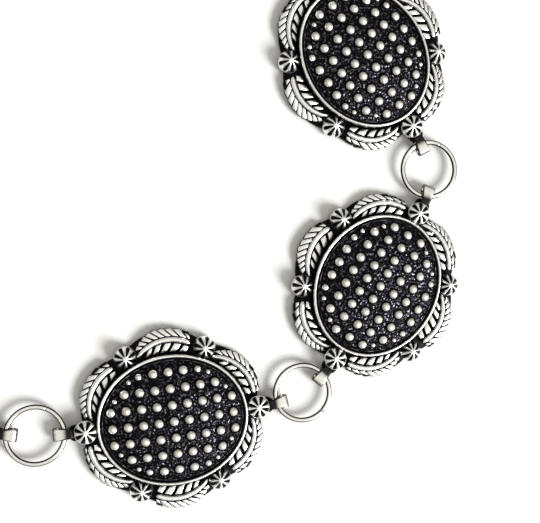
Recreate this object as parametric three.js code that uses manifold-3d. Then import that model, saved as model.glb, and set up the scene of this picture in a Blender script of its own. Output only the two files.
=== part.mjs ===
// A concho belt: twelve domed oval conchos of cast metal, joined end to end by wire rings and folded strap
// links, fastened into one closed loop and lying flat on its back. Millimetres, +Z up. The origin is on the
// surface that the belt lies on, at the middle of the loop.
import * as THREE from 'three';
import { mergeVertices } from 'three/addons/utils/BufferGeometryUtils.js';
import Module from 'manifold-3d';

const wasm = await Module();
wasm.setup();

// Concho, in its own frame: X along the belt, Y across it, Z up from the flat back
const DOME_HALF_LENGTH = 18.2;
const DOME_HALF_WIDTH = 15.5;
const DOME_RISE = 3.3;
const RIM_WIDTH = 1.7;
const RIM_HEIGHT = 4.9;
const RIM_STEP = 0.6;
const BORDER_LENGTH = 2.4;
const BORDER_WIDTH = 3.7;
const LOBE_REACH = 3.5;
const EDGE_HEIGHT = 2.0;
const TROUGH_HEIGHT = 1.9;
const RIB_HEIGHT = 3.4;
const WALL = 1.6;
const COLUMNS = 18;
const LEAVES = 6;

// Fluted bosses between the leaves, and the cast eye behind each end boss
const BOSS_RADIUS = 3.2;
const BOSS_RISE = 1.5;
const BOSS_OFFSET = 2.95;
const SIDE_BOSS_ANGLE = 62;
const BOSS_SIDES = 6;
const EYE_REACH = 0.55;
const EYE_THICKNESS = 1.2;
const BAR_WIDTH = 1.0;
const ARM_WIDTH = 0.55;
const NOSE_CUT_ALONG = 0.8;
const NOSE_CUT_ACROSS = 1.3;

// Strap links, rings and the plain hook that closes the belt
const STRAP_THICKNESS = 0.42;
const STRAP_EYE_WIDTH = 2.3;
const STRAP_RING_WIDTH = 3.4;
const STRAP_LENGTH = 2.5;
const HOOK_LENGTH = 3.5;
const BEND_STEPS = 3;
const WIRE_DIAMETER = 1.3;
const RING_OUTER_DIAMETER = 16.2;
const RING_SIDES = 12;
const WIRE_SIDES = 5;
const RUNNING_GAP = 0.3;
const RING_PLAY = 0.5;
const FLOOR_GAP = 0.83;

// The loop: the way the first concho points, in degrees, then one row for each joint of one half. turn is how
// far the belt turns clockwise there. leaving and arriving are the shares of it that the ring's middle lies off
// the line of the concho before it and of the one after it. The other half repeats the first half a turn round.
const FIRST_HEADING = -54.5;
const JOINTS = [
  { turn: 66.5, leaving: 0.23, arriving: 0.37 },
  { turn: 52.6, leaving: 0.36, arriving: 0.26 },
  { turn: 16.5, leaving: 0.3, arriving: 0.3 },
  { turn: 14.0, leaving: 0.3, arriving: 0.3 },
  { turn: 15.0, leaving: 0.3, arriving: 0.3 },
  { turn: 15.4, leaving: 0.3, arriving: 0.3 },
];
const STRAP_SWING = 0.5;
const HOOKED_JOINT = 6;

const SILVER = { color: 0x6e6e70, roughness: 0.45, metalness: 0.9 };
const NICKEL = { color: 0xd8d6d0, roughness: 0.25, metalness: 1.0 };

// Sizes that follow from the ones above
const rimHalfLength = DOME_HALF_LENGTH + RIM_WIDTH;
const rimHalfWidth = DOME_HALF_WIDTH + RIM_WIDTH;
const endBossX = rimHalfLength + BOSS_OFFSET;
const wireRadius = WIRE_DIAMETER / 2;
const ringRadius = (RING_OUTER_DIAMETER - WIRE_DIAMETER) / 2;
const strapInside = Math.max(EYE_THICKNESS / 2, wireRadius) + RUNNING_GAP;
const strapOutside = strapInside + STRAP_THICKNESS;
const jointHeight = strapOutside + FLOOR_GAP;
const bossEdgeHeight = jointHeight + strapOutside + 0.1;
const barX = endBossX + BOSS_RADIUS + EYE_REACH;
const barToWire = BAR_WIDTH / 2 + RING_PLAY + wireRadius;

const radians = THREE.MathUtils.degToRad;
const towards = (degrees) => new THREE.Vector2(Math.cos(radians(degrees)), Math.sin(radians(degrees)));
// A strap follows its ring part of the way, on both sides of the joint
const strapTurns = ({ turn, leaving, arriving }) => [STRAP_SWING * leaving * turn, STRAP_SWING * arriving * turn];

function solidFrom(geometry) {
  const bare = geometry.clone();
  bare.deleteAttribute('normal');
  bare.deleteAttribute('uv');
  const merged = mergeVertices(bare, 1e-4);
  const index = new Uint32Array(merged.index.array);
  const solid = new wasm.Mesh({ numProp: 3, vertProperties: merged.attributes.position.array, triVerts: index });
  return new wasm.Manifold(solid);
}

function geometryFrom(solid) {
  const { vertProperties, triVerts } = solid.getMesh();
  const geometry = new THREE.BufferGeometry();
  geometry.setAttribute('position', new THREE.BufferAttribute(vertProperties, 3));
  geometry.setIndex(new THREE.BufferAttribute(triVerts, 1));
  geometry.computeVertexNormals();
  return geometry;
}

// One row of points round the concho. An oval's half sizes grow outward by the leaf lobes, where it has any.
function ovalRow(halfLength, halfWidth, height, lobe = 0) {
  const row = [];
  for (let column = 0; column < COLUMNS; column += 1) {
    const angle = (2 * Math.PI * column) / COLUMNS;
    const bulge = lobe * Math.abs(Math.sin((LEAVES / 2) * angle)) ** 0.6;
    const normal = new THREE.Vector2(Math.cos(angle) / halfLength, Math.sin(angle) / halfWidth).normalize();
    const x = halfLength * Math.cos(angle) + bulge * normal.x;
    const y = halfWidth * Math.sin(angle) + bulge * normal.y;
    row.push(new THREE.Vector3(x, y, height));
  }
  return row;
}

// Rows from the middle of the hollow back, out over the edge and in over the leaves, rim and dome to the crown
function plateGeometry() {
  const edgeLength = rimHalfLength + BORDER_LENGTH;
  const edgeWidth = rimHalfWidth + BORDER_WIDTH;
  const domeFoot = RIM_HEIGHT - RIM_STEP;
  const crown = domeFoot + DOME_RISE;
  const shoulder = domeFoot + 0.68 * DOME_RISE;
  const rows = [
    ovalRow(0.55 * DOME_HALF_LENGTH, 0.55 * DOME_HALF_WIDTH, shoulder - WALL),
    ovalRow(rimHalfLength - WALL, rimHalfWidth - WALL, 0),
    ovalRow(edgeLength, edgeWidth, 0, LOBE_REACH),
    ovalRow(edgeLength, edgeWidth, EDGE_HEIGHT, LOBE_REACH),
    ovalRow(edgeLength - 0.5 * BORDER_LENGTH, edgeWidth - 0.5 * BORDER_WIDTH, RIB_HEIGHT, 0.5 * LOBE_REACH),
    ovalRow(rimHalfLength + 0.2, rimHalfWidth + 0.2, TROUGH_HEIGHT),
    ovalRow(rimHalfLength - 0.4 * RIM_WIDTH, rimHalfWidth - 0.4 * RIM_WIDTH, RIM_HEIGHT),
    ovalRow(DOME_HALF_LENGTH, DOME_HALF_WIDTH, domeFoot),
    ovalRow(0.6 * DOME_HALF_LENGTH, 0.6 * DOME_HALF_WIDTH, shoulder),
  ];
  const points = [new THREE.Vector3(0, 0, crown - WALL), ...rows.flat(), new THREE.Vector3(0, 0, crown)];
  const index = [];
  const last = points.length - 1;
  for (let column = 0; column < COLUMNS; column += 1) {
    const next = (column + 1) % COLUMNS;
    index.push(0, 1 + next, 1 + column);
    for (let row = 0; row < rows.length - 1; row += 1) {
      const low = 1 + row * COLUMNS;
      const high = low + COLUMNS;
      index.push(low + column, low + next, high + next, low + column, high + next, high + column);
    }
    const top = 1 + (rows.length - 1) * COLUMNS;
    index.push(top + column, top + next, last);
  }
  const geometry = new THREE.BufferGeometry();
  geometry.setAttribute('position', new THREE.Float32BufferAttribute(points.flatMap((p) => p.toArray()), 3));
  geometry.setIndex(index);
  return geometry;
}

// A boss is a button: it swells from its foot to its edge and domes over to its tip
function bossGeometry(footRadius, footHeight) {
  const profile = [
    new THREE.Vector2(0, footHeight),
    new THREE.Vector2(footRadius, footHeight),
    new THREE.Vector2(BOSS_RADIUS, bossEdgeHeight),
    new THREE.Vector2(0.62 * BOSS_RADIUS, bossEdgeHeight + 0.75 * BOSS_RISE),
    new THREE.Vector2(0, bossEdgeHeight + BOSS_RISE),
  ];
  return new THREE.LatheGeometry(profile, BOSS_SIDES).rotateX(Math.PI / 2);
}

function bossPlaces() {
  const places = [[endBossX, 0], [-endBossX, 0]];
  const angle = radians(SIDE_BOSS_ANGLE);
  const normal = new THREE.Vector2(Math.cos(angle) / rimHalfLength, Math.sin(angle) / rimHalfWidth).normalize();
  const x = rimHalfLength * Math.cos(angle) + BOSS_OFFSET * normal.x;
  const y = rimHalfWidth * Math.sin(angle) + BOSS_OFFSET * normal.y;
  for (const along of [1, -1]) {
    for (const across of [1, -1]) places.push([along * x, across * y]);
  }
  return places;
}

// The eye is a flat cast loop. The strap's near bend hangs in its opening, with room to swing.
function eyeGeometry() {
  const swing = radians(Math.max(...JOINTS.map(strapTurns).flat()));
  const halfStrap = STRAP_EYE_WIDTH / 2;
  const holeHalfWidth = halfStrap + strapOutside * Math.sin(swing) + RUNNING_GAP;
  const halfWidth = holeHalfWidth + ARM_WIDTH;
  const nearX = barX - strapOutside - halfStrap * Math.sin(swing) - RUNNING_GAP;
  const barInner = barX - BAR_WIDTH / 2;
  const barOuter = barX + BAR_WIDTH / 2;
  const rootX = endBossX - 0.42 * BOSS_RADIUS;
  const nose = halfWidth - NOSE_CUT_ACROSS;
  const eye = new THREE.Shape();
  eye.moveTo(rootX, -halfWidth);
  eye.lineTo(barOuter - NOSE_CUT_ALONG, -halfWidth);
  eye.lineTo(barOuter, -nose);
  eye.lineTo(barOuter, nose);
  eye.lineTo(barOuter - NOSE_CUT_ALONG, halfWidth);
  eye.lineTo(rootX, halfWidth);
  eye.closePath();
  const hole = new THREE.Path();
  hole.moveTo(nearX, -holeHalfWidth);
  hole.lineTo(nearX, holeHalfWidth);
  hole.lineTo(barInner, holeHalfWidth);
  hole.lineTo(barInner, -holeHalfWidth);
  hole.closePath();
  eye.holes.push(hole);
  const geometry = new THREE.ExtrudeGeometry(eye, { depth: EYE_THICKNESS, bevelEnabled: false });
  return geometry.translate(0, 0, jointHeight - EYE_THICKNESS / 2);
}

// Plate, bosses and eyes are one casting
function conchoGeometry() {
  let solid = solidFrom(plateGeometry());
  for (const [x, y] of bossPlaces()) {
    const atEnd = y === 0;
    const footRadius = atEnd ? 0.375 * BOSS_RADIUS : 0.7 * BOSS_RADIUS;
    const footHeight = atEnd ? jointHeight - EYE_THICKNESS / 4 : EDGE_HEIGHT / 2;
    solid = solid.add(solidFrom(bossGeometry(footRadius, footHeight).translate(x, y, 0)));
  }
  const eye = eyeGeometry();
  solid = solid.add(solidFrom(eye));
  solid = solid.add(solidFrom(eye.clone().rotateZ(Math.PI)));
  return geometryFrom(solid);
}

// Side view of a strap: a bend round the eye's bar at X 0 and one beyond the ring's wire
function bandPoints(radius, length) {
  const points = [];
  for (let step = 0; step <= BEND_STEPS; step += 1) {
    const angle = Math.PI / 2 + (Math.PI * step) / BEND_STEPS;
    points.push(new THREE.Vector2(radius * Math.cos(angle), radius * Math.sin(angle)));
  }
  for (let step = 0; step <= BEND_STEPS; step += 1) {
    const angle = -Math.PI / 2 + (Math.PI * step) / BEND_STEPS;
    points.push(new THREE.Vector2(length + radius * Math.cos(angle), radius * Math.sin(angle)));
  }
  return points;
}

// Extruded across the belt, then narrowed towards the eye
function bandGeometry(shape, length) {
  const geometry = new THREE.ExtrudeGeometry(shape, { depth: STRAP_RING_WIDTH, bevelEnabled: false });
  geometry.translate(0, 0, -STRAP_RING_WIDTH / 2).rotateX(Math.PI / 2);
  const position = geometry.attributes.position;
  const start = -strapOutside;
  const end = length + strapOutside;
  for (let i = 0; i < position.count; i += 1) {
    const share = (position.getX(i) - start) / (end - start);
    const width = STRAP_EYE_WIDTH + share * (STRAP_RING_WIDTH - STRAP_EYE_WIDTH);
    position.setY(i, (position.getY(i) * width) / STRAP_RING_WIDTH);
  }
  return geometry;
}

function strapGeometry() {
  const shape = new THREE.Shape(bandPoints(strapOutside, STRAP_LENGTH));
  shape.holes.push(new THREE.Path(bandPoints(strapInside, STRAP_LENGTH).reverse()));
  return bandGeometry(shape, STRAP_LENGTH);
}

// The hook is a longer strap with its underside open beneath the ring's wire, so that the ring slips in and out
function hookGeometry() {
  const mouthStart = BAR_WIDTH / 2 + RUNNING_GAP / 2;
  const mouthEnd = mouthStart + WIRE_DIAMETER + RUNNING_GAP;
  const open = (radius) => {
    const points = bandPoints(radius, HOOK_LENGTH);
    const far = points.splice(BEND_STEPS + 1);
    const tip = new THREE.Vector2(mouthEnd, -radius);
    const lip = new THREE.Vector2(mouthStart, -radius);
    return [tip, ...far, ...points, lip];
  };
  const outline = [...open(strapOutside), ...open(strapInside).reverse()];
  return bandGeometry(new THREE.Shape(outline), HOOK_LENGTH);
}

// Walks round the belt and gives the place and heading, in the plane, of every piece
function layOutLoop() {
  const joints = [...JOINTS, ...JOINTS];
  const conchos = [];
  const links = [];
  const rings = [];
  let heading = FIRST_HEADING;
  let centre = new THREE.Vector2(0, 0);
  for (const joint of joints) {
    conchos.push({ centre: centre.clone(), heading });
    const next = heading - joint.turn;
    const [strapOut, strapIn] = strapTurns(joint);
    const leaving = heading - strapOut;
    const arriving = next + strapIn;
    const bar = centre.clone().addScaledVector(towards(heading), barX);
    const ring = bar.clone().addScaledVector(towards(leaving), barToWire);
    ring.addScaledVector(towards(heading - joint.leaving * joint.turn), ringRadius);
    const nextBar = ring.clone().addScaledVector(towards(next + joint.arriving * joint.turn), ringRadius);
    nextBar.addScaledVector(towards(arriving), barToWire);
    links.push([{ centre: bar, heading: leaving }, { centre: nextBar, heading: arriving + 180 }]);
    rings.push({ centre: ring, heading });
    centre = nextBar.clone().addScaledVector(towards(next), barX);
    heading = next;
  }
  const middle = conchos[JOINTS.length].centre.clone().multiplyScalar(0.5);
  for (const place of [...conchos, ...links.flat(), ...rings]) place.centre.sub(middle);
  return { conchos, links, rings };
}

function addPiece(group, name, geometry, look, place, height) {
  const mesh = new THREE.Mesh(geometry, new THREE.MeshStandardMaterial(look));
  mesh.name = name;
  mesh.position.set(place.centre.x, place.centre.y, height);
  mesh.rotation.z = radians(place.heading);
  group.add(mesh);
}

const belt = new THREE.Group();
const { conchos, links, rings } = layOutLoop();
const concho = conchoGeometry();
const strap = strapGeometry();
const hook = hookGeometry();
const ring = new THREE.TorusGeometry(ringRadius, wireRadius, WIRE_SIDES, RING_SIDES);
conchos.forEach((place, i) => addPiece(belt, `concho_${i + 1}`, concho, SILVER, place, 0));
rings.forEach((place, i) => addPiece(belt, `ring_${i + 1}`, ring, NICKEL, place, jointHeight));
links.forEach(([leaving, arriving], i) => {
  const number = i + 1;
  const hooked = number === HOOKED_JOINT;
  const piece = hooked ? hook : strap;
  addPiece(belt, hooked ? 'clasp_hook' : `strap_${number}a`, piece, NICKEL, leaving, jointHeight);
  addPiece(belt, `strap_${number}b`, strap, NICKEL, arriving, jointHeight);
});

export default belt;
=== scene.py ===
# %% [markdown]
# # A concho belt, piece by piece
#
# The real belt is a chain of cast conchos. Each concho is one casting: a studded oval dome in a raised rim,
# six feather leaves round it, six fluted buttons between the leaves and an eye at each end. Wire rings and
# folded strap links join them. The metal is dipped in a black bath and then rubbed, so that high places
# turn bright and low places stay black. This file builds each kind of piece once, as a mesh, and lays
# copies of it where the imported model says. Every length is in millimetres until a piece is laid.

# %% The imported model
import math
import random

import bmesh
import bpy
import numpy
from mathutils import Matrix, Vector


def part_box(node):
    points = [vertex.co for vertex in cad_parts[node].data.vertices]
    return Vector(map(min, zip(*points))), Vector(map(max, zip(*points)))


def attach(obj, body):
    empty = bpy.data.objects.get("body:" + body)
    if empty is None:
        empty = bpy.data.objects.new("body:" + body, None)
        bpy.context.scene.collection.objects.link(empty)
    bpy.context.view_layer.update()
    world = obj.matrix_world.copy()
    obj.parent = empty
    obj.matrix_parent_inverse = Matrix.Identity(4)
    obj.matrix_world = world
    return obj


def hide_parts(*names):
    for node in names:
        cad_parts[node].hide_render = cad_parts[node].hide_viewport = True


MM = 0.001
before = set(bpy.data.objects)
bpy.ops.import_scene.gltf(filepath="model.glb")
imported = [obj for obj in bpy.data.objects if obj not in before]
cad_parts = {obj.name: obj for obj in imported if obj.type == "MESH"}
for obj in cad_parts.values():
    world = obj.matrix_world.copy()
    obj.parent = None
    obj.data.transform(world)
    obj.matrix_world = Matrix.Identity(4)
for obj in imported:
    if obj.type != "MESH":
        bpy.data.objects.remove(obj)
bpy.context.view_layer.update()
nodes = sorted(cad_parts)

# %% [markdown]
# ## Where the pieces lie
#
# Every piece of the chain has its own place and heading. They could be typed in again here, but then they
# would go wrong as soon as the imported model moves, so they are read from it. A box gives the middle of a
# node and its points give the heading. A concho's eyes hold its farthest points, so these give the line
# along the belt. A strap is longer than it is wide, so the long axis of its points is its own line, and it
# points at the nearest ring.

# %% Place and heading of each node
NOSE_BAND = 0.05


def node_points(name):
    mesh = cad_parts[name].data
    flat = numpy.empty(len(mesh.vertices) * 3)
    mesh.vertices.foreach_get("co", flat)
    return flat.reshape(-1, 3) / MM


def node_middle(name):
    low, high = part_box(name)
    return numpy.array([(a + b) / 2 / MM for a, b in zip(low, high)])


def named(*beginnings):
    return [name for name in nodes if name.startswith(beginnings)]


def concho_place(name):
    middle = node_middle(name)
    flat = node_points(name)[:, :2] - middle[:2]
    reach = numpy.hypot(flat[:, 0], flat[:, 1])
    noses = flat[reach > reach.max() - NOSE_BAND]
    # Doubled angles let the noses of both ends agree on one line.
    doubled = 2 * numpy.arctan2(noses[:, 1], noses[:, 0])
    heading = numpy.arctan2(numpy.sin(doubled).sum(), numpy.cos(doubled).sum()) / 2
    return Matrix.Translation((middle[0], middle[1], 0)) @ Matrix.Rotation(heading, 4, "Z")


def nearest_ring(middle):
    rings = [node_middle(name) for name in named("ring_")]
    return min(rings, key=lambda other: numpy.hypot(*(other - middle)[:2]))


def strap_place(name):
    """Gives a strap's place, with its eye end at the origin, and its length."""
    points = node_points(name)
    middle = points[:, :2].mean(axis=0)
    flat = points[:, :2] - middle
    values, axes = numpy.linalg.eigh(flat.T @ flat)
    along = axes[:, numpy.argmax(values)]
    ring = nearest_ring(node_middle(name))
    if along @ (ring[:2] - middle) < 0:
        along = -along
    reach = flat @ along
    near = middle + along * reach.min()
    heading = math.atan2(along[1], along[0])
    place = Matrix.Translation((near[0], near[1], node_middle(name)[2])) @ Matrix.Rotation(heading, 4, "Z")
    return place, reach.max() - reach.min()


concho_places = {name: concho_place(name) for name in named("concho_")}
strap_places = {name: strap_place(name) for name in named("strap_", "clasp_")}
print(len(concho_places), "conchos,", len(strap_places), "links,", len(named("ring_")), "rings")

# %% [markdown]
# ## Working in bmesh
#
# Most of a casting is a set of closed rings of points, one after the other. Their points and faces could be
# listed by hand, but Blender's extrude operator keeps the faces right by itself. The helper called grow uses
# it to push the open edge of a sheet out by one more ring. Another turns a finished shell's faces outward.


# %% Helpers for meshes
def made(result, kind):
    return [item for item in result["geom"] if isinstance(item, kind)]


def edges_of(points):
    return list(dict.fromkeys(edge for point in points for edge in point.link_edges))


def faces_of(points):
    return list(dict.fromkeys(face for point in points for face in point.link_faces))


def grow(bm, edges, place):
    """Extrude an open edge by one ring and move each new point to where place() puts it."""
    result = bmesh.ops.extrude_edge_only(bm, edges=edges)
    points = made(result, bmesh.types.BMVert)
    for point in points:
        point.co = place(point)
    return made(result, bmesh.types.BMEdge), points


def finish_shell(bm, points, slot):
    """Turn a closed shell's faces outward and give them their finish."""
    faces = faces_of(points)
    bmesh.ops.recalc_face_normals(bm, faces=faces)
    for face in faces:
        face.material_index = slot
        face.smooth = True


# %% [markdown]
# ## The concho's plan
#
# Everything on a concho is placed from its rim, which is an oval. A drawing with x and y for each detail
# would work too, but leaves that follow an oval are easier to say as an angle round the rim and a distance
# out from it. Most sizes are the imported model's own, but the dome is lower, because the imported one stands
# for the studs too. The scalloped edge swells six times, once for each leaf.

# %% Sizes of the concho
RIM_HALF = (19.9, 17.2)
RIM_WIDTH = 1.7
DOME_HALF = (RIM_HALF[0] - RIM_WIDTH, RIM_HALF[1] - RIM_WIDTH)
DOME_FOOT = 4.3
DOME_RISE = 2.25
DOME_FULLNESS = 0.85
BORDER = (2.4, 3.7)
LOBE_REACH = 3.5
LOBE_FULLNESS = 0.6
LEAVES = 6
BASE_HEIGHT = 1.6
JOINT_HEIGHT = 2.2
SIDE_BUTTON_ANGLE = math.radians(62)


def from_oval(half, angle, distance, height):
    """The place at an angle round an oval and a distance out from it."""
    normal = Vector((math.cos(angle) / half[0], math.sin(angle) / half[1])).normalized()
    x = half[0] * math.cos(angle) + distance * normal.x
    y = half[1] * math.sin(angle) + distance * normal.y
    return Vector((x, y, height))


def from_rim(angle, distance, height=0.0):
    return from_oval(RIM_HALF, angle, distance, height)


def border_point(angle, share, height):
    """The place a share of the way from the rim to the scalloped edge."""
    half = [RIM_HALF[axis] + BORDER[axis] * share for axis in (0, 1)]
    bulge = LOBE_REACH * share * abs(math.sin(LEAVES / 2 * angle)) ** LOBE_FULLNESS
    return from_oval(half, angle, bulge, height)


def border_room(angle):
    """How far the scalloped edge lies from the rim at an angle."""
    return (border_point(angle, 1.0, 0) - border_point(angle, 0.0, 0)).length


def dome_share(x, y):
    return (x / DOME_HALF[0]) ** 2 + (y / DOME_HALF[1]) ** 2


def dome_height(x, y):
    return DOME_FOOT + DOME_RISE * max(0.0, 1 - dome_share(x, y)) ** DOME_FULLNESS


button_angles = [0.0, SIDE_BUTTON_ANGLE, math.pi - SIDE_BUTTON_ANGLE]
button_angles += [angle + math.pi for angle in button_angles]
print("crown at", round(dome_height(0, 0), 2), "mm")
print("border at the side", round(border_room(math.pi / 2), 2), "mm")

# %% [markdown]
# ## Slots and the polish and painted shade value
#
# One mesh holds the whole casting, as one pour of metal does, with three finishes in three slots. Where the
# metal is bright could be painted on a picture, but a picture needs unwrapping. Instead each point carries
# a number called polish_and_painted_shade. On the castings it is 1 where the metal is rubbed bright and 0
# where the black stays. On the rings and straps it paints light and shade instead: a painted highlight on
# the top of the wire, and painted shade on its sides and on the strap's ends and sides. The finish reads
# it, so the contrast follows the relief from every side.

# %% Finishes of the casting
CASTING, GROUND, STUD = range(3)
BRIGHT, BLACK = 1.0, 0.0
print("slots: casting", CASTING, "ground", GROUND, "studs", STUD)

# %% [markdown]
# ## Dome, rim and border
#
# The plate is the body of the casting, hollow behind. It could be carved from a block, but its shape is the
# same all the way round, so one growing sheet makes it. The sheet starts as a small disc at the crown,
# under the middle stud. It grows ring by ring down the dome, over the step and the round rim, across the
# sunk border to the edge, down it, and back in under the flat land to the hollow behind the dome.

# %% The plate
PLATE_COLUMNS = 216
CROWN_SHARE = 0.03
DOME_RINGS = 16
RIM_ROWS = (
    # distance in from the rim's outer side, height, polish
    (1.62, 4.12, 0.0),
    (1.50, 4.34, 0.30),
    (1.36, 4.34, 0.30),
    (1.20, 3.95, 0.0),
    (1.00, 4.00, 0.0),
    (0.82, 4.35, 0.1),
    (0.68, 4.80, 1.0),
    (0.48, 4.98, 1.0),
    (0.26, 4.92, 1.0),
    (0.08, 4.60, 0.6),
    (0.00, 4.20, 0.0),
    (-0.05, 3.20, 0.0),
    (-0.12, BASE_HEIGHT + 0.2, 0.0),
)
BORDER_ROWS = (
    # share of the way out to the edge, height, polish
    (0.10, BASE_HEIGHT, 0.0),
    (0.40, BASE_HEIGHT + 0.35, 0.0),
    (0.65, BASE_HEIGHT + 0.15, 0.0),
    (0.78, BASE_HEIGHT - 0.20, 0.0),
    (0.84, BASE_HEIGHT - 0.60, 0.1),
    (0.85, 0.60, 0.3),
    (0.83, 0.00, 0.4),
)
WALL = 1.6
LAND_POLISH = 0.5
HOLLOW_POLISH = 0.3
HOLLOW_SHARES = (0.8, 0.6, 0.4, 0.2, 0.05)
GROUND_DEPTH = 0.3


def plate_rows(turn):
    """Gives a place and a polish for each ring of the sheet, from the crown to the hollow."""
    def on_dome(share, drop=0.0):
        def place(point):
            x = share * DOME_HALF[0] * math.cos(point[turn])
            y = share * DOME_HALF[1] * math.sin(point[turn])
            return Vector((x, y, dome_height(x, y) - drop))
        return place

    rows = [(on_dome(CROWN_SHARE), BLACK)]
    rows += [(on_dome(ring / DOME_RINGS), BLACK) for ring in range(1, DOME_RINGS + 1)]
    rows += [(lambda p, d=d, z=z: from_rim(p[turn], -d, z), bright) for d, z, bright in RIM_ROWS]
    rows += [(lambda p, s=s, z=z: border_point(p[turn], s, z), bright) for s, z, bright in BORDER_ROWS]
    rows.append((lambda p: from_rim(p[turn], -WALL), LAND_POLISH))
    rows += [(on_dome(share, WALL), HOLLOW_POLISH) for share in HOLLOW_SHARES]
    return rows


def add_plate(bm, turn, polish_and_painted_shade):
    disc = bmesh.ops.create_circle(bm, cap_ends=True, segments=PLATE_COLUMNS, radius=1)["verts"]
    everything = list(disc)
    edges = edges_of(disc)
    for point in disc:
        point[turn] = math.atan2(point.co.y, point.co.x)
    (crown, bright), *rows = plate_rows(turn)
    for point in disc:
        point.co = crown(point)
        point[polish_and_painted_shade] = bright
    for place, bright in rows:
        edges, points = grow(bm, edges, place)
        for point in points:
            point[polish_and_painted_shade] = bright
        everything += points
    bmesh.ops.contextual_create(bm, geom=edges)
    finish_shell(bm, everything, CASTING)
    for face in faces_of(everything):
        middle = face.calc_center_median()
        over_dome = dome_share(middle.x, middle.y) < 1.0
        if over_dome and middle.z > dome_height(middle.x, middle.y) - GROUND_DEPTH:
            face.material_index = GROUND


print("the sheet grows by", DOME_RINGS + len(RIM_ROWS) + len(BORDER_ROWS), "rings before it turns under")

# %% [markdown]
# ## Studs
#
# The dome carries 59 round studs in seven rows, square to the concho, with one exactly in the middle. The
# rows are full across the middle. Towards the long sides they shorten and end in smaller studs that follow
# the rim. Studs could be pushed out of the dome's own faces, but that needs a dense dome, so each one is a
# low ball from the sphere operator, with few faces because there are hundreds of them. The row of points
# below its middle spreads into a thin black collar, where the bath gathers round it.

# %% The studs
STUD_PITCH = (3.96, 4.26)
FULL, MIDDLING, SMALL = 1.27, 0.95, 0.66
STUD_HEIGHT = 1.14
STUD_SUNK = 0.08
MIDDLE_ROW = 0.1
COLLAR_ROW = 0.5
COLLAR_REACH = 1.3
COLLAR_LIFT = 0.03
FOOT_LIFT = 0.08
BLACK_FOOT = 0.12
BRIGHTENING = 0.35
FULL_COLUMNS = (4, 4, 3, 1)
ROW_ENDS = {
    # columns out from the middle, pull towards the middle row, radius
    2: ((3.68, 0.36, SMALL),),
    3: ((1.96, 0.06, MIDDLING), (2.64, 0.32, SMALL)),
}


def between(low, value, high):
    return min(high, max(low, value))


def stud_spots():
    """Gives each stud's x, y and radius."""
    spots = []
    for row in range(-3, 4):
        side = abs(row)
        full = FULL_COLUMNS[side]
        columns = [(column, 0.0, FULL) for column in range(-full, full + 1)]
        for column, pull, radius in ROW_ENDS.get(side, ()):
            columns += [(column, pull, radius), (-column, pull, radius)]
        for column, pull, radius in columns:
            across = (side - pull) * (1 if row > 0 else -1)
            spots.append((column * STUD_PITCH[0], across * STUD_PITCH[1], radius))
    return spots


def add_stud(bm, polish_and_painted_shade, x, y, radius):
    equator = dome_height(x, y) - STUD_SUNK * radius
    matrix = Matrix.Translation((x, y, equator)) @ Matrix.Diagonal((1, 1, STUD_HEIGHT / FULL, 1))
    ball = bmesh.ops.create_uvsphere(bm, u_segments=10, v_segments=6, radius=radius, matrix=matrix)["verts"]
    for point in ball:
        drop = (equator - point.co.z) / radius
        if MIDDLE_ROW < drop < COLLAR_ROW:
            away = Vector((point.co.x - x, point.co.y - y)).normalized() * COLLAR_REACH * radius
            collar = Vector((x + away.x, y + away.y))
            point.co = (*collar, dome_height(*collar) + COLLAR_LIFT)
        elif abs(drop) < MIDDLE_ROW:
            point.co.z = dome_height(point.co.x, point.co.y) + FOOT_LIFT
        proud = (point.co.z - dome_height(point.co.x, point.co.y)) / radius
        point[polish_and_painted_shade] = between(BLACK, (proud - BLACK_FOOT) / BRIGHTENING, BRIGHT)
    finish_shell(bm, ball, STUD)


print(len(stud_spots()), "studs on each dome")

# %% [markdown]
# ## Fluted buttons
#
# A button is a low dome with eight ribs that meet at its tip. Between them lie hollows shaped like drops,
# closed at the edge by a thin bright lip. Eight cuts with a tool shape would leave sharp seams, so the
# button grows ring by ring from its tip like the plate, and a wave round each ring presses the hollows in.

# %% The buttons
FLUTES = 8
BUTTON_COLUMNS = 48
BUTTON_RADIUS = 3.05
BUTTON_TIP = 5.3
BUTTON_KINDS = {
    # distance out from the rim, height of the edge, radius and height of the foot
    "side": (2.69, 1.7, 2.8, 1.0),
    "end": (2.95, 3.72, 1.4, JOINT_HEIGHT),
}
BUTTON_ROWS = (
    # share of the radius, share of the height above the edge, depth of the hollows
    (0.09, 1.00, 0.00),
    (0.18, 0.99, 0.08),
    (0.32, 0.96, 0.40),
    (0.48, 0.90, 0.70),
    (0.64, 0.80, 0.85),
    (0.78, 0.66, 0.75),
    (0.89, 0.49, 0.45),
    (0.96, 0.30, 0.15),
    (1.00, 0.08, 0.00),
    (1.00, -0.06, 0.00),
)
HOLLOW_SHARPNESS = 1.3
HOLLOW_PULL = 0.5
HOLLOW_BLACK = 1.7
FULLY_BLACK_DEPTH = 0.3
UNDERSIDE_POLISH = 0.3


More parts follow.
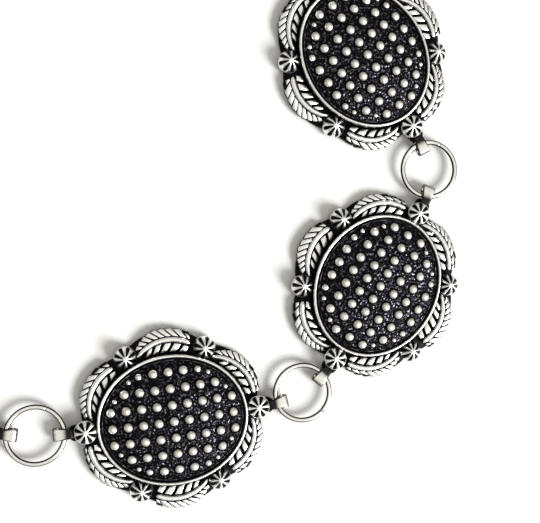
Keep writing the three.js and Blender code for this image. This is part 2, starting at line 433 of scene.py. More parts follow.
def add_button(bm, turn, polish_and_painted_shade, spot, edge, foot_radius, foot_height):
    disc = bmesh.ops.create_circle(bm, cap_ends=True, segments=BUTTON_COLUMNS, radius=1)["verts"]
    rise = BUTTON_TIP - edge

    def hollow_at(point):
        return (0.5 - 0.5 * math.cos(FLUTES * point[turn])) ** HOLLOW_SHARPNESS

    def ring_at(share, height, depth):
        def put(point):
            sunk = depth * hollow_at(point)
            radius = BUTTON_RADIUS * share - HOLLOW_PULL * share * sunk
            x = spot.x + radius * math.cos(point[turn])
            y = spot.y + radius * math.sin(point[turn])
            return Vector((x, y, edge + rise * height - sunk))
        return put

    for point in disc:
        point[turn] = math.atan2(point.co.y, point.co.x)
        point[polish_and_painted_shade] = BRIGHT
        point.co = ring_at(*BUTTON_ROWS[0])(point)
    edges = edges_of(disc)
    everything = list(disc)
    for share, height, depth in BUTTON_ROWS[1:]:
        edges, points = grow(bm, edges, ring_at(share, height, depth))
        for point in points:
            lit = BRIGHT - HOLLOW_BLACK * hollow_at(point) * min(1.0, depth / FULLY_BLACK_DEPTH)
            point[polish_and_painted_shade] = max(BLACK, lit) if height >= 0 else UNDERSIDE_POLISH
        everything += points
    edges, points = grow(bm, edges, ring_at(foot_radius / BUTTON_RADIUS, (foot_height - edge) / rise, 0.0))
    everything += points
    for point in points:
        point[polish_and_painted_shade] = BLACK
    bmesh.ops.contextual_create(bm, geom=edges)
    finish_shell(bm, everything, CASTING)


def add_buttons(bm, turn, polish_and_painted_shade):
    for angle in button_angles:
        kind = "end" if angle in (0.0, math.pi) else "side"
        distance, edge, foot_radius, foot_height = BUTTON_KINDS[kind]
        add_button(bm, turn, polish_and_painted_shade, from_rim(angle, distance), edge, foot_radius, foot_height)


print("buttons at", [round(math.degrees(angle)) for angle in button_angles], "degrees")

# %% [markdown]
# ## The line of a leaf
#
# Six feathers lie round the rim, all pointing the same way round. Each has a smooth round rib, with barbs
# on both sides of it. A curve drawn in the editor could guide them, but two short formulas through a few
# measured widths are easier to change: one for the rib's distance from the rim and one for the outer
# edge's.

# %% A leaf's rib line and edge line
LEAF_MARGINS = (math.radians(11), math.radians(8))
LEAF_ROOM = 6.75
EDGE_MARGIN = 0.3


def curve_through(*pairs):
    """A smooth formula through a few pairs of share along the leaf and distance from the rim."""
    shares, values = zip(*pairs)
    formula = numpy.poly1d(numpy.polyfit(shares, values, len(pairs) - 1))
    return lambda share: float(formula(between(0.0, share, 1.0)))


rib_path = curve_through((0, 2.9), (0.35, 3.6), (0.7, 2.95), (1, 1.2))
edge_path = curve_through((0, 5.3), (0.35, 6.9), (0.7, 6.0), (1, 3.0))


class Leaf:
    """One feather between two buttons, with share 0 at its broad end and 1 at its tip."""

    def __init__(self, start, end):
        self.start = start + LEAF_MARGINS[0]
        self.end = end - LEAF_MARGINS[1]
        self.stretch = border_room((self.start + self.end) / 2) / LEAF_ROOM

    def angle(self, share):
        return self.start + (self.end - self.start) * share

    def spot(self, share, distance):
        return from_rim(self.angle(share), distance)

    def rib(self, share):
        return rib_path(share) * self.stretch

    def edge(self, share):
        return min(edge_path(share) * self.stretch, border_room(self.angle(share)) - EDGE_MARGIN)


leaf_ends = button_angles[1:] + [button_angles[0] + 2 * math.pi]
leaves = [Leaf(start, end) for start, end in zip(button_angles, leaf_ends)]
print("leaves stretch by", [round(leaf.stretch, 3) for leaf in leaves])

# %% [markdown]
# ## Carrying a section along a path
#
# The ribs, eyes, straps and rings are all one section carried along a path. A curve object with a bevel makes
# such shapes too, but it can't be joined to the rest of a casting until it is turned into a mesh. Here a
# circle is extruded from frame to frame, and both ends are closed. A frame says where the section is, which
# way it faces, and how wide and how high it is.


# %% Helpers for sections
def sweep(bm, frames, sides):
    """Carry a round section of one unit radius through a row of frames."""
    section = bmesh.ops.create_circle(bm, cap_ends=True, segments=sides, radius=1, matrix=frames[0])
    everything = list(section["verts"])
    edges = edges_of(everything)
    for before, after in zip(frames, frames[1:]):
        result = bmesh.ops.extrude_edge_only(bm, edges=edges)
        points = made(result, bmesh.types.BMVert)
        bmesh.ops.transform(bm, matrix=after @ before.inverted(), verts=points)
        everything += points
        edges = made(result, bmesh.types.BMEdge)
    bmesh.ops.contextual_create(bm, geom=edges)
    return everything


def section_frame(middle, across, up, along):
    """A frame whose first two axes are a section's half width and half height."""
    return Matrix.Translation(middle) @ Matrix((across, up, along)).transposed().to_4x4()


# %% [markdown]
# ## The rib of a leaf
#
# The rib stands highest and is rubbed brightest. It bulges outward and tapers to its tip. A bevelled curve
# object would make such a wire, but the casting is one mesh, so the section is carried along the rib's line
# here. Its first section is smaller, which rounds the broad end off.

# %% The ribs
RIB_STATIONS = 16
RIB_SIDES = 12
RIB_HALF_WIDTH = 0.72
RIB_HALF_HEIGHT = 0.95
RIB_TAPER = 0.2
RIB_BLUNT_END = 0.6611
RIB_TOP = 3.6
RIB_TOP_FALL = 0.6
RIB_BRIGHT_LEVEL = 0.35
STEP_AHEAD = 0.01
UP = Vector((0, 0, 1))


def rib_top(share):
    return RIB_TOP - RIB_TOP_FALL * share ** 2


def add_rib(bm, polish_and_painted_shade, leaf):
    frames = []
    for station in range(RIB_STATIONS + 1):
        share = station / RIB_STATIONS
        here = leaf.spot(share, leaf.rib(share))
        ahead = leaf.spot(share + STEP_AHEAD, leaf.rib(share + STEP_AHEAD))
        along = (ahead - here).normalized()
        across = Vector((along.y, -along.x, 0))
        swell = 1.0 if station else RIB_BLUNT_END
        half_width = (RIB_HALF_WIDTH - RIB_TAPER * share ** 3) * swell
        half_height = (RIB_HALF_HEIGHT - RIB_TAPER * share) * swell
        middle = here + UP * (rib_top(share) - half_height)
        frames.append(section_frame(middle, across * half_width, UP * half_height, along))
    points = sweep(bm, frames, RIB_SIDES)
    finish_shell(bm, points, CASTING)
    bm.normal_update()
    for point in points:
        point[polish_and_painted_shade] = BRIGHT if point.normal.z > RIB_BRIGHT_LEVEL else BLACK


print("a rib falls from", RIB_TOP, "to", round(rib_top(1.0), 2), "mm")

# %% [markdown]
# ## The barbs of a leaf
#
# Outside the rib nine barbs slope down and form the scalloped edge. Inside it five narrower barbs lie in
# the black recess. All sweep back from the tip. A carved surface would need a very dense mesh, so a barb is
# a small box whose corners are moved to the leaf and whose edges are bevelled, as worn castings are. Only
# its top is bright.

# %% The barbs
BARB_SHRINK = 0.9
BARB_BEVEL = 0.13
BARB_TOP_LEVEL = 0.86
OUTER_BARBS = 9
OUTER_GAP = 0.12
OUTER_SWEEP = 0.042
OUTER_DROP = 0.5
OUTER_END_TOP = 2.1
OUTER_FOOT = 0.9
OUTER_SLANT = 0.25
INNER_BARBS = 5
INNER_GAP = 0.16
INNER_SWEEP = 0.028
INNER_DROP = 0.55
INNER_END_TOP = 2.7
INNER_FOOT = 1.2
INNER_END = 0.5


def add_barb(bm, polish_and_painted_shade, corners, tops, foot):
    """A box on four corners, given as two at its root and two at its end, with a top height for each pair."""
    box = bmesh.ops.create_cube(bm, size=2)["verts"]
    for point in box:
        pair = 1 if point.co.x > 0 else 0
        side = 1 if point.co.y > 0 else 0
        corner = corners[2 * pair + side]
        point.co = (corner.x, corner.y, tops[pair] if point.co.z > 0 else foot)
    # The corners may turn the box inside out, and the bevel goes by its normals.
    bmesh.ops.recalc_face_normals(bm, faces=faces_of(box))
    bm.normal_update()
    result = bmesh.ops.bevel(
        bm, geom=edges_of(box), offset=BARB_BEVEL, offset_type="OFFSET", segments=1, profile=0.5,
        affect="EDGES", clamp_overlap=True, material=-1,
    )
    points = list(dict.fromkeys(point for face in result["faces"] for point in face.verts))
    finish_shell(bm, points, CASTING)
    for face in faces_of(points):
        face.normal_update()
    for point in points:
        on_top = any(face.normal.z > BARB_TOP_LEVEL for face in point.link_faces)
        point[polish_and_painted_shade] = BRIGHT if on_top else BLACK


def barb_spans(count, gap_share):
    """Spans along the leaf for a row of barbs, with gaps between, closer together towards the tip."""
    total = 1 - BARB_SHRINK ** count
    shares = [(1 - BARB_SHRINK ** step) / total for step in range(count + 1)]
    spans = []
    for start, end in zip(shares, shares[1:]):
        gap = gap_share * (end - start)
        spans.append((start, start + gap, end - gap))
    return spans


def add_outer_barbs(bm, polish_and_painted_shade, leaf):
    for start, low, high in barb_spans(OUTER_BARBS, OUTER_GAP):
        back = OUTER_SWEEP * (leaf.edge(low) - leaf.rib(low))
        roots = [max(low - back, 0.0), max(high - back, 0.03)]
        corners = [leaf.spot(root, leaf.rib(root) + 1.0 - 0.15 * root) for root in roots]
        corners += [leaf.spot(low, leaf.edge(low)), leaf.spot(high, leaf.edge(high) - OUTER_SLANT)]
        add_barb(bm, polish_and_painted_shade, corners, (rib_top(start) - OUTER_DROP, OUTER_END_TOP), OUTER_FOOT)


def add_inner_barbs(bm, polish_and_painted_shade, leaf):
    # The tip has no room for a last barb, so its span stays empty.
    for start, low, high in barb_spans(INNER_BARBS + 1, INNER_GAP)[:INNER_BARBS]:
        back = INNER_SWEEP * leaf.rib(low)
        roots = [max(low - back, 0.0), max(high - back, 0.04)]
        corners = [leaf.spot(root, leaf.rib(root) - 1.0 + 0.2 * root) for root in roots]
        corners += [leaf.spot(low, INNER_END), leaf.spot(high, INNER_END)]
        add_barb(bm, polish_and_painted_shade, corners, (rib_top(start) - INNER_DROP, INNER_END_TOP), INNER_FOOT)


print(LEAVES * (OUTER_BARBS + INNER_BARBS), "barbs on each concho")

# %% [markdown]
# ## Cast eyes
#
# Behind each end button the casting ends in a small loop. The strap passes through it and wraps its bar. A
# torus would be too round for it, so a round section is carried along a path with a straight bar and
# rounded corners. The straps hide most of it from the rubbing, so it stays dark.

# %% The eyes
BAR_X = 26.6
EYE_ROOT_X = 21.6
EYE_HALF_WIDTH = 1.72
EYE_SECTION = (0.44, 0.6)
EYE_SIDES = 12
EYE_CORNER = 0.95
EYE_CORNER_STEPS = 6
EYE_POLISH = 0.12


def eye_path():
    """Points of the loop from one root to the other, with the direction at each."""
    centre_x = BAR_X - EYE_CORNER
    centre_y = EYE_HALF_WIDTH - EYE_CORNER
    points = [(EYE_ROOT_X, EYE_HALF_WIDTH, 0.0), (centre_x, EYE_HALF_WIDTH, 0.0)]
    for corner_y, start in ((centre_y, math.pi / 2), (-centre_y, 0.0)):
        for step in range(EYE_CORNER_STEPS + 1):
            angle = start - math.pi / 2 * step / EYE_CORNER_STEPS
            x = centre_x + EYE_CORNER * math.cos(angle)
            points.append((x, corner_y + EYE_CORNER * math.sin(angle), angle - math.pi / 2))
    points.append((EYE_ROOT_X, -EYE_HALF_WIDTH, -math.pi))
    return points


def add_eyes(bm, polish_and_painted_shade):
    for half_turn in (0, math.pi):
        frames = []
        for x, y, direction in eye_path():
            along = Vector((math.cos(direction), math.sin(direction), 0))
            across = Vector((along.y, -along.x, 0))
            middle = (x, y, JOINT_HEIGHT)
            frame_here = section_frame(middle, across * EYE_SECTION[0], UP * EYE_SECTION[1], along)
            frames.append(Matrix.Rotation(half_turn, 4, "Z") @ frame_here)
        points = sweep(bm, frames, EYE_SIDES)
        for point in points:
            point[polish_and_painted_shade] = EYE_POLISH
        finish_shell(bm, points, CASTING)


print("an eye reaches", BAR_X + EYE_SECTION[0], "mm from the middle")

# %% [markdown]
# ## One whole casting
#
# The real concho is poured as one piece. Its parts could be separate objects, but there are more than 150 of
# them on each concho. Here all parts go into one bmesh, each as a closed shell that is sunk a little into the
# plate, and one mesh serves all twelve conchos.

# %% A concho
def finished_mesh(bm, name):
    mesh = bpy.data.meshes.new(name)
    bm.to_mesh(mesh)
    bm.free()
    print(name, "has", sum(len(face.vertices) - 2 for face in mesh.polygons), "triangles")
    return mesh


def build_concho():
    bm = bmesh.new()
    turn = bm.verts.layers.float.new("turn")
    polish_and_painted_shade = bm.verts.layers.float.new("polish_and_painted_shade")
    add_plate(bm, turn, polish_and_painted_shade)
    for x, y, radius in stud_spots():
        add_stud(bm, polish_and_painted_shade, x, y, radius)
    add_buttons(bm, turn, polish_and_painted_shade)
    for leaf in leaves:
        add_rib(bm, polish_and_painted_shade, leaf)
        add_outer_barbs(bm, polish_and_painted_shade, leaf)
        add_inner_barbs(bm, polish_and_painted_shade, leaf)
    add_eyes(bm, polish_and_painted_shade)
    bm.verts.layers.float.remove(turn)
    return finished_mesh(bm, "concho_casting")


concho_mesh = build_concho()

# %% [markdown]
# ## Strap links
#
# A strap is a strip of sheet metal folded into a flat loop. One bend sits round the eye's bar and the other
# beyond the ring's wire, and the strip widens towards the ring. A plane with a thickness would need both
# bends drawn by hand, so a thin flat section is carried round the loop. Its two ends stop short of each other
# below, where the belt hides them. The end at the eye is painted dark, as painted shade under the button,
# and the far bend and both sides are painted darker as painted shade too. The hook that closes the belt is
# made of the same strip, so all links share one mesh.

# %% The straps and the hook
STRAP_THICKNESS = 0.42
STRAP_HALF_HEIGHT = 1.37
STRAP_WIDTHS = (2.3, 3.4)
STRAP_SIDES = 20
BEND_STEPS = 12
SQUARENESS = 0.86
OPENING = (STRAP_HALF_HEIGHT + 0.65, STRAP_HALF_HEIGHT + 2.25)
EYE_END = (0.24, 0.38)
FAR_END = (0.97, 0.91)
SIDE_BAND = 0.42
SIDE_PAINTED_SHADE = 0.4
FAR_END_PAINTED_SHADE = 0.15
ONLY_SLOT = 0


def strip_path(length):
    """The middle line of the strip in side view, as x, height and direction, over both bends."""
    radius = STRAP_HALF_HEIGHT - STRAP_THICKNESS / 2
    path = [(OPENING[0], -radius, math.pi)]
    for centre, start in ((STRAP_HALF_HEIGHT, math.pi * 1.5), (length - STRAP_HALF_HEIGHT, math.pi / 2)):
        for step in range(BEND_STEPS + 1):
            angle = start - math.pi * step / BEND_STEPS
            path.append((centre + radius * math.cos(angle), radius * math.sin(angle), angle - math.pi / 2))
    path.append((OPENING[1], -radius, math.pi))
    return path


def strap_width(x, length):
    return STRAP_WIDTHS[0] + (STRAP_WIDTHS[1] - STRAP_WIDTHS[0]) * x / length


def square_up(points, frames):
    """Fill the round section out towards a flat strip with round edges."""
    for index, point in enumerate(points):
        frame_here = frames[index // STRAP_SIDES]
        local = frame_here.inverted() @ point.co
        rounded = Vector((local.x, local.y))
        squared = rounded * (rounded.length / max(abs(local.x), abs(local.y)))
        point.co = frame_here @ Vector((*rounded.lerp(squared, SQUARENESS), local.z))


# Painted shade: the strap is painted dark at the end by the eye and darker at the far bend and along both
# sides.
def strap_painted_shade(point, length):
    share = point.co.x / length
    from_eye = (share - EYE_END[0]) / (EYE_END[1] - EYE_END[0])
    to_end = (FAR_END[0] - share) / (FAR_END[0] - FAR_END[1])
    at_side = abs(point.co.y) > SIDE_BAND * strap_width(point.co.x, length)
    from_side = SIDE_PAINTED_SHADE if at_side else BRIGHT
    return min(BRIGHT, from_side, max(BLACK, from_eye), max(FAR_END_PAINTED_SHADE, to_end))


def build_strap(length):
    bm = bmesh.new()
    polish_and_painted_shade = bm.verts.layers.float.new("polish_and_painted_shade")
    frames = []
    for x, z, direction in strip_path(length):
        along = Vector((math.cos(direction), 0, math.sin(direction)))
        out = Vector((-along.z, 0, along.x)) * STRAP_THICKNESS / 2
        across = Vector((0, 1, 0)) * strap_width(x, length) / 2
        frames.append(section_frame((x, 0, z), across, out, along))
    points = sweep(bm, frames, STRAP_SIDES)
    square_up(points, frames)
    for point in points:
        point[polish_and_painted_shade] = strap_painted_shade(point, length)
    finish_shell(bm, points, ONLY_SLOT)
    return finished_mesh(bm, "strap_link")


lengths = [length for place, length in strap_places.values()]
print("links are", round(min(lengths), 2), "to", round(max(lengths), 2), "mm long")
strap_mesh = build_strap(lengths[0])

# %% [markdown]
# ## Rings
#
# A ring is round wire bent into a circle until its ends meet, and the joint shows as a hairline. The torus
# operator leaves no joint, so the section is carried almost all the way round and both ends are closed.
# Each ring has its joint at its own angle.

# %% The rings
WIRE_RADIUS = 0.65
WIRE_SIDES = 16
RING_RADIUS = 7.45
RING_STEPS = 96
JOINT_GAP = 0.09
PAINTED_SHEEN_AT = 0.83
PAINTED_SHEEN_SPREAD = 0.3


def build_ring(joint_angle):
    bm = bmesh.new()
    polish_and_painted_shade = bm.verts.layers.float.new("polish_and_painted_shade")
    gap = JOINT_GAP / RING_RADIUS
    frames = []
    for step in range(RING_STEPS + 1):
        angle = joint_angle + gap / 2 + (2 * math.pi - gap) * step / RING_STEPS
        out = Vector((math.cos(angle), math.sin(angle), 0))
        along = Vector((-out.y, out.x, 0))
        frames.append(section_frame(out * RING_RADIUS, out * WIRE_RADIUS, UP * WIRE_RADIUS, along))
    points = sweep(bm, frames, WIRE_SIDES)
    # Painted highlight and painted shade: only the top of the wire is painted bright, and its sides are
    # painted dark for the dark reflections and shade along them.
    for point in points:
        over = (point.co.z / WIRE_RADIUS - PAINTED_SHEEN_AT) / PAINTED_SHEEN_SPREAD
        point[polish_and_painted_shade] = between(BLACK, over + 0.5, BRIGHT)
    finish_shell(bm, points, ONLY_SLOT)
    return finished_mesh(bm, "jump_ring")


SEEN_JOINTS = {"ring_1": 66, "ring_2": -43, "ring_3": 69}
luck = random.Random(7)
joints = {name: SEEN_JOINTS.get(name, luck.uniform(0, 360)) for name in named("ring_")}
ring_meshes = {name: build_ring(math.radians(joint)) for name, joint in joints.items()}

# %% [markdown]
# ## Finishes
#
# On the castings the metal is bright where it is rubbed and black where the bath stayed. On the rings and
# straps the same mask gives a painted highlight where they are bright and painted shade where they are dark.
# Each material could have its own nodes for this, but a shader node group is built once and placed in each
# with its own values. The group below turns the polish and painted shade value into a mask with a ragged
# edge, because rubbing never stops at a clean line.

# %% The rubbed and painted shade edge
def socket(group, name, direction, kind, value=None):
    made_socket = group.interface.new_socket(name=name, in_out=direction, socket_type=kind)
    if value is not None:
        made_socket.default_value = value


def math_node(group, operation):
    node = group.nodes.new("ShaderNodeMath")
    node.operation = operation
    return node


def rubbed_and_painted_shade_edge_group():
    group = bpy.data.node_groups.new("rubbed_and_painted_shade_edge", "ShaderNodeTree")
    socket(group, "Polish And Painted Shade", "INPUT", "NodeSocketFloat", 0.5)
    socket(group, "Grain Scale", "INPUT", "NodeSocketFloat", 900.0)
    socket(group, "Raggedness", "INPUT", "NodeSocketFloat", 0.4)
    socket(group, "Mask", "OUTPUT", "NodeSocketFloat")
    into, out = group.nodes.new("NodeGroupInput"), group.nodes.new("NodeGroupOutput")
    place = group.nodes.new("ShaderNodeTexCoord")
    noise = group.nodes.new("ShaderNodeTexNoise")
    noise.inputs["Detail"].default_value = 3.0
    centred = math_node(group, "SUBTRACT")
    centred.inputs[1].default_value = 0.5
    scaled = math_node(group, "MULTIPLY")
    total = math_node(group, "ADD")
    ramp = group.nodes.new("ShaderNodeMapRange")
    ramp.interpolation_type = "SMOOTHSTEP"
    ramp.inputs["From Min"].default_value = 0.25
    ramp.inputs["From Max"].default_value = 0.75
    link = group.links.new
    link(place.outputs["Object"], noise.inputs["Vector"])
    link(into.outputs["Grain Scale"], noise.inputs["Scale"])
    link(noise.outputs["Fac"], centred.inputs[0])
    link(centred.outputs[0], scaled.inputs[0])
    link(into.outputs["Raggedness"], scaled.inputs[1])
    link(scaled.outputs[0], total.inputs[0])
    link(into.outputs["Polish And Painted Shade"], total.inputs[1])
    link(total.outputs[0], ramp.inputs["Value"])
    link(ramp.outputs["Result"], out.inputs["Mask"])
    return group


rubbed_and_painted_shade_edge = rubbed_and_painted_shade_edge_group()
print(rubbed_and_painted_shade_edge.name, "has", len(rubbed_and_painted_shade_edge.nodes), "nodes")

# %% [markdown]
# ## The grain of a casting
#
# Poured metal keeps the fine pitted skin of its mould, and even drawn wire isn't a mirror. The pits are far
# too small to model, so a noise feeds a bump, and the group puts out the bumped normal. It reads Object
# coordinates, which keep the grain still on the piece.

# %% The cast grain
def cast_grain_group():
    group = bpy.data.node_groups.new("cast_grain", "ShaderNodeTree")
    socket(group, "Scale", "INPUT", "NodeSocketFloat", 1500.0)
    socket(group, "Strength", "INPUT", "NodeSocketFloat", 0.2)
    socket(group, "Normal", "OUTPUT", "NodeSocketVector")
    into, out = group.nodes.new("NodeGroupInput"), group.nodes.new("NodeGroupOutput")
    place = group.nodes.new("ShaderNodeTexCoord")
    noise = group.nodes.new("ShaderNodeTexNoise")
    noise.inputs["Detail"].default_value = 4.0
    bump = group.nodes.new("ShaderNodeBump")
    bump.inputs["Distance"].default_value = 0.2 * MM
    link = group.links.new
    link(place.outputs["Object"], noise.inputs["Vector"])
    link(into.outputs["Scale"], noise.inputs["Scale"])
    link(noise.outputs["Fac"], bump.inputs["Height"])
    link(into.outputs["Strength"], bump.inputs["Strength"])
    link(bump.outputs["Normal"], out.inputs["Normal"])
    return group


cast_grain = cast_grain_group()
print(cast_grain.name, "has", len(cast_grain.nodes), "nodes")

# %% [markdown]
# ## Building a material
#
# A material is a small tree of nodes that ends in the Principled shader. The trees could be wired in the
# editor, but written down they can be read and changed. These helpers make what repeats: a new material, a
# placed group, the polish value of a point, and a colour or a number that a mask blends.


# %% Helpers for materials
def new_material(name):
    material = bpy.data.materials.new(name)
    material.use_nodes = True
    tree = material.node_tree
    return material, tree, tree.nodes["Principled BSDF"]


def add_group(tree, group, **values):
    node = tree.nodes.new("ShaderNodeGroup")
    node.node_tree = group
    for name, value in values.items():
        node.inputs[name.replace("_", " ")].default_value = value
    return node


def polish_and_painted_shade_value(tree):
    node = tree.nodes.new("ShaderNodeAttribute")
    node.attribute_name = "polish_and_painted_shade"
    return node.outputs["Fac"]


def mix_colour(tree, factor, low, high):
    node = tree.nodes.new("ShaderNodeMix")
    node.data_type = "RGBA"
    node.inputs["A"].default_value = (*low, 1)
    node.inputs["B"].default_value = (*high, 1)
    tree.links.new(factor, node.inputs["Factor"])
    return node.outputs["Result"]


def mix_number(tree, factor, low, high):
    node = tree.nodes.new("ShaderNodeMapRange")
    node.inputs["To Min"].default_value = low
    node.inputs["To Max"].default_value = high
    tree.links.new(factor, node.inputs["Value"])
    return node.outputs["Result"]


# %% [markdown]
# ## Black and bright metal
#
# Rubbed silver is nearly white and fairly smooth. The black bath leaves a dull dark skin that is hardly
# metallic. The nickel rings and straps had no bath, so their dark colour is painted shade and painted dark
# reflection. Two shaders could be mixed, but one Principled shader whose colour, metal and roughness all
# follow the mask is simpler to bake. One function makes it, and each part chooses its colours and grain.

# %% Rubbed metals and nickel with painted shade
BLACKENED = (0.004, 0.004, 0.005)
SILVER_COLOUR = (0.83, 0.82, 0.80)
STUD_COLOUR = (0.66, 0.64, 0.60)
NICKEL_COLOUR = (0.80, 0.78, 0.73)
# Painted shade: the dark colour of the nickel rings and straps stands in for shade and dark reflections.
NICKEL_PAINTED_SHADE = (0.014, 0.0135, 0.013)
METALLIC = (0.9, 1.0)
EDGE_GRAIN_SCALE = 900.0
DULL_SPECULAR = 0.25


def rubbed_and_painted_shade_metal(name, colours, roughness, grain_scale, grain_strength, raggedness):
    material, tree, metal = new_material(name)
    edge = add_group(tree, rubbed_and_painted_shade_edge, Grain_Scale=EDGE_GRAIN_SCALE, Raggedness=raggedness)
    tree.links.new(polish_and_painted_shade_value(tree), edge.inputs["Polish And Painted Shade"])
    mask = edge.outputs["Mask"]
    tree.links.new(mix_colour(tree, mask, *colours), metal.inputs["Base Color"])
    tree.links.new(mix_number(tree, mask, *METALLIC), metal.inputs["Metallic"])
    tree.links.new(mix_number(tree, mask, *roughness), metal.inputs["Roughness"])
    metal.inputs["Specular IOR Level"].default_value = DULL_SPECULAR
    grain = add_group(tree, cast_grain, Scale=grain_scale, Strength=grain_strength)
    tree.links.new(grain.outputs["Normal"], metal.inputs["Normal"])
    print(name, "goes from", colours[0], "to", colours[1])
    return material


casting_finish = rubbed_and_painted_shade_metal("rubbed_casting", (BLACKENED, SILVER_COLOUR), (0.5, 0.32), 1400.0, 0.5, 0.5)
stud_finish = rubbed_and_painted_shade_metal("rubbed_studs", (BLACKENED, STUD_COLOUR), (0.5, 0.46), 1100.0, 0.6, 0.3)
wire_finish = rubbed_and_painted_shade_metal("nickel_wire", (NICKEL_PAINTED_SHADE, NICKEL_COLOUR), (0.4, 0.22), 500.0, 0.12, 0.15)

# %% [markdown]
# ## Pebbled ground
#
# The dome between the studs is black, with a fine leathery grain of pebbles. Their tops catch the light as
# tiny grey glints with a breath of purple. Real pebbles would be tens of thousands of faces, so a cell
# pattern makes them as bump, and a finer noise decides which are rubbed.

# %% The dome's ground
PEBBLE_SCALE = 1500.0
PIT_COLOUR = (0.003, 0.003, 0.004)
GLINT_COLOUR = (0.085, 0.08, 0.10)
GLINT_RANGE = (0.54, 0.66)


def pebbled_ground():
    material, tree, metal = new_material("pebbled_ground")
    place = tree.nodes.new("ShaderNodeTexCoord")
    cells = tree.nodes.new("ShaderNodeTexVoronoi")
    cells.inputs["Scale"].default_value = PEBBLE_SCALE
    noise = tree.nodes.new("ShaderNodeTexNoise")
    noise.inputs["Scale"].default_value = PEBBLE_SCALE
    noise.inputs["Detail"].default_value = 2.0
    glints = tree.nodes.new("ShaderNodeMapRange")
    glints.interpolation_type = "SMOOTHSTEP"
    glints.inputs["From Min"].default_value = GLINT_RANGE[0]
    glints.inputs["From Max"].default_value = GLINT_RANGE[1]
    bump = tree.nodes.new("ShaderNodeBump")
    bump.inputs["Distance"].default_value = 0.25 * MM
    bump.inputs["Strength"].default_value = 1.0
    bump.invert = True
    link = tree.links.new
    link(place.outputs["Object"], cells.inputs["Vector"])
    link(place.outputs["Object"], noise.inputs["Vector"])
    link(noise.outputs["Fac"], glints.inputs["Value"])
    link(mix_colour(tree, glints.outputs["Result"], PIT_COLOUR, GLINT_COLOUR), metal.inputs["Base Color"])
    link(cells.outputs["Distance"], bump.inputs["Height"])
    link(bump.outputs["Normal"], metal.inputs["Normal"])
    metal.inputs["Metallic"].default_value = 0.95
    metal.inputs["Roughness"].default_value = 0.36
    return material


ground_finish = pebbled_ground()
print("pebbles are about", round(1 / PEBBLE_SCALE / MM, 2), "mm wide")

# %% [markdown]
# ## Laying the belt
#
# The belt is laid the way the chain runs. Linked copies would share one mesh and carry their places on
# their objects, but a finished piece's object has to stay at the origin. So each piece is a copy of its
# mesh, and the copy is moved to its node's place before it becomes an object.

# %% Lay out every piece
def lay_piece(name, mesh, place, materials, node):
    own = mesh.copy()
    own.name = name
    own.transform(Matrix.Scale(MM, 4) @ place)
    for material in materials:
        own.materials.append(material)
    piece = bpy.data.objects.new(name, own)
    bpy.context.collection.objects.link(piece)
    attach(piece, "root")
    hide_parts(node)
    return piece


casting_materials = (casting_finish, ground_finish, stud_finish)
laid = []
for name, place in concho_places.items():
    laid.append(lay_piece("cast_" + name, concho_mesh, place, casting_materials, name))
for name, (place, length) in strap_places.items():
    laid.append(lay_piece("folded_" + name, strap_mesh, place, (wire_finish,), name))
for name, mesh in ring_meshes.items():
    place = Matrix.Translation(node_middle(name))
    laid.append(lay_piece("wire_" + name, mesh, place, (wire_finish,), name))
print(len(laid), "pieces laid")

# %% [markdown]
# ## The floor
#
# The belt lies on a plain white surface. A curved backdrop is usual for standing things, but the camera looks
# down here, so one large flat grid does. It is wide, so that its end shows only far off and in low views.

# %% The floor
FLOOR_SIZE = 12.0
FLOOR_COLOUR = (0.56, 0.555, 0.545, 1)


def lay_floor():
    bm = bmesh.new()
    bmesh.ops.create_grid(bm, x_segments=1, y_segments=1, size=FLOOR_SIZE / 2)
    mesh = finished_mesh(bm, "floor")
    material, tree, paint = new_material("white_surface")
    paint.inputs["Base Color"].default_value = FLOOR_COLOUR
    paint.inputs["Roughness"].default_value = 0.7
    mesh.materials.append(material)
    floor = bpy.data.objects.new("floor", mesh)
    bpy.context.collection.objects.link(floor)


lay_floor()

# %% [markdown]
# ## Light
#
# The light is bright and soft and comes low from the right, so short soft shadows fall to the left. An area
# lamp fades across the floor, so a sun with a wide angle gives the shadows. Polished metal shows what is
# round it, so the world is brighter overhead than at its sides. The sides then show as grey in steep
# flanks.

# %% The room and the sun
ROOM_COLOUR = (1.0, 0.975, 0.925, 1)
ROOM_HEIGHTS = (0.1, 0.85)
ROOM_STRENGTHS = (0.28, 0.95)
SUN_WAY = Vector((0.66, -0.45, 0.56))
SUN_ANGLE = math.radians(28)
SUN_ENERGY = 6.8


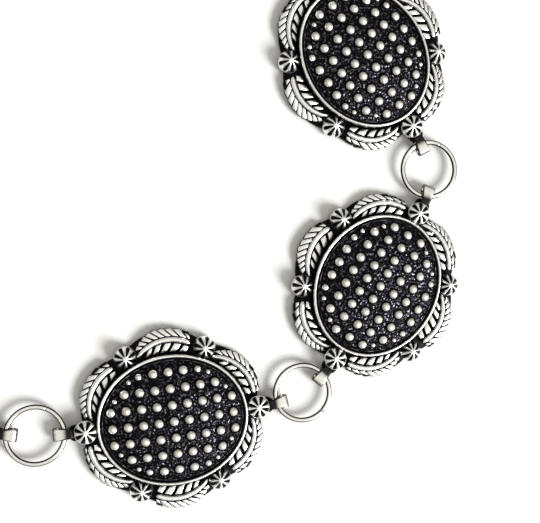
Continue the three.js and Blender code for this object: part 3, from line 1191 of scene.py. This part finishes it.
def build_room():
    world = bpy.data.worlds.new("white_room")
    world.use_nodes = True
    tree = world.node_tree
    direction = tree.nodes.new("ShaderNodeTexCoord")
    axes = tree.nodes.new("ShaderNodeSeparateXYZ")
    height = tree.nodes.new("ShaderNodeMapRange")
    height.interpolation_type = "SMOOTHSTEP"
    height.inputs["From Min"].default_value = ROOM_HEIGHTS[0]
    height.inputs["From Max"].default_value = ROOM_HEIGHTS[1]
    height.inputs["To Min"].default_value = ROOM_STRENGTHS[0]
    height.inputs["To Max"].default_value = ROOM_STRENGTHS[1]
    background = tree.nodes["Background"]
    background.inputs["Color"].default_value = ROOM_COLOUR
    tree.links.new(direction.outputs["Generated"], axes.inputs["Vector"])
    tree.links.new(axes.outputs["Z"], height.inputs["Value"])
    tree.links.new(height.outputs["Result"], background.inputs["Strength"])
    bpy.context.scene.world = world


def hang_sun():
    sun = bpy.data.lights.new("sun", "SUN")
    sun.angle = SUN_ANGLE
    sun.energy = SUN_ENERGY
    lamp = bpy.data.objects.new("sun", sun)
    lamp.rotation_euler = (-SUN_WAY).to_track_quat("-Z", "Y").to_euler()
    bpy.context.collection.objects.link(lamp)


build_room()
hang_sun()
print("the sun stands", round(math.degrees(math.asin(SUN_WAY.normalized().z))), "degrees high")

# %% [markdown]
# ## The camera
#
# The camera looks almost straight down, from a quarter of a metre. Its place and tilt could be found by
# eye, but they were fitted to the buttons' places instead, which is exact to a few pixels. The lens is
# given in pixels, because that fit works in pixels, and is turned into millimetres for the picture's width
# of 540.

# %% Place the camera
CAMERA_PLACE = Vector((0.0761, -0.0554, 0.2658))
CAMERA_TILT = (math.radians(-1.6), math.radians(-10.3))
LENS_PIXELS = 1000
PICTURE_WIDTH = 540
SENSOR_WIDTH = 36.0
NEAREST = 0.01

camera = bpy.data.cameras.new("camera")
camera.sensor_width = SENSOR_WIDTH
camera.lens = LENS_PIXELS / PICTURE_WIDTH * SENSOR_WIDTH
camera.clip_start = NEAREST
viewer = bpy.data.objects.new("camera", camera)
tilt = Matrix.Rotation(CAMERA_TILT[1], 4, "Y") @ Matrix.Rotation(CAMERA_TILT[0], 4, "X")
viewer.matrix_world = Matrix.Translation(CAMERA_PLACE) @ tilt
bpy.context.collection.objects.link(viewer)
bpy.context.scene.camera = viewer
bpy.context.scene.view_settings.view_transform = "Standard"
print("lens", round(camera.lens, 1), "mm")
